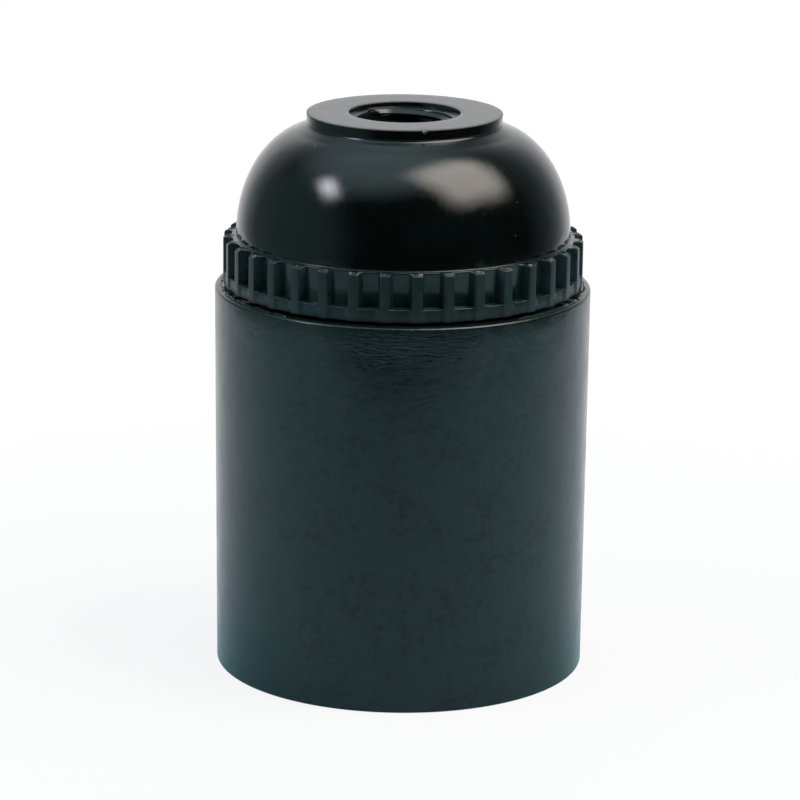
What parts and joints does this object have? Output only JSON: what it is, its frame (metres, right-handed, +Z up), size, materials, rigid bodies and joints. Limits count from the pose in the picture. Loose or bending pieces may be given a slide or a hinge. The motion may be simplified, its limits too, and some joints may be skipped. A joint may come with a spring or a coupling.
{
  "type": "screw-shell lamp holder",
  "caption": "Plain cylindrical lamp holder with a domed, rib-gripped cap, threaded conduit entry on top, and a ceramic core with a screw shell for the lamp below.",
  "frame": {"origin": "centre of the sleeve's foot, on the plane that the holder stands on", "axes": "+Z up the holder's axis towards the threaded entry, +X through the live terminal, +Y completes the right-handed set"},
  "size_m": [0.04, 0.04, 0.06],
  "materials": {
    "phenolic": "moulded black phenolic, glossy on the dome and satin on the sleeve",
    "porcelain": "clear glaze over white porcelain",
    "plated_shell": "bright nickel plate over drawn brass",
    "bronze": "rolled phosphor bronze strip",
    "brass": "pressed brass, unplated",
    "plated_screw": "zinc-plated steel"
  },
  "bodies": {
    "cap": {"dome_cap": "phenolic"},
    "insert": {"porcelain_insert": "porcelain", "screw_shell": "plated_shell", "live_terminal_plate": "brass", "neutral_terminal_plate": "brass", "contact_rivet": "brass", "neutral_shell_rivet": "brass", "plain_shell_rivet": "brass", "rivet_washer": "plated_screw"},
    "sleeve": {"outer_sleeve": "phenolic"},
    "contact": {"centre_contact": "bronze"},
    "live_clamp": {"live_clamp_plate": "brass"},
    "live_screw": {"live_terminal_screw": "plated_screw"},
    "neutral_clamp": {"neutral_clamp_plate": "brass"},
    "neutral_screw": {"neutral_terminal_screw": "plated_screw"}
  },
  "joints": [
    {"name": "insert_travel", "type": "slide", "parent": "cap", "child": "insert", "axis": [0, 0, -1], "range_m": [0, 0.00501]},
    {"name": "sleeve_turn", "type": "hinge", "parent": "insert", "child": "sleeve", "pos_m": [0, 0, 0.02], "axis": [0, 0, -1], "range_deg": [0, 720]},
    {"name": "centre_contact_flex", "type": "hinge", "parent": "insert", "child": "contact", "pos_m": [0.0064, 0, 0.0341], "axis": [0, 1, 0], "range_deg": [0, 9], "stiffness_Nm_per_rad": 0.34, "deforming": ["centre_contact"]},
    {"name": "live_clamp_lift", "type": "slide", "parent": "insert", "child": "live_clamp", "axis": [0, 0, 1], "range_m": [0, 0.0024]},
    {"name": "live_screw_turn", "type": "hinge", "parent": "live_clamp", "child": "live_screw", "pos_m": [0.0094, 0, 0.048], "axis": [0, 0, 1], "range_deg": [0, 1441]},
    {"name": "neutral_clamp_lift", "type": "slide", "parent": "insert", "child": "neutral_clamp", "axis": [0, 0, 1], "range_m": [0, 0.0024]},
    {"name": "neutral_screw_turn", "type": "hinge", "parent": "neutral_clamp", "child": "neutral_screw", "pos_m": [-0.0094, 0, 0.048], "axis": [0, 0, 1], "range_deg": [0, 1441]}
  ],
  "couplings": [
    {"joint": "insert_travel", "follows": "sleeve_turn", "m_per_rad": 0.00039789},
    {"joint": "live_screw_turn", "follows": "live_clamp_lift", "rad_per_m": 10472},
    {"joint": "neutral_screw_turn", "follows": "neutral_clamp_lift", "rad_per_m": 10472}
  ]
}
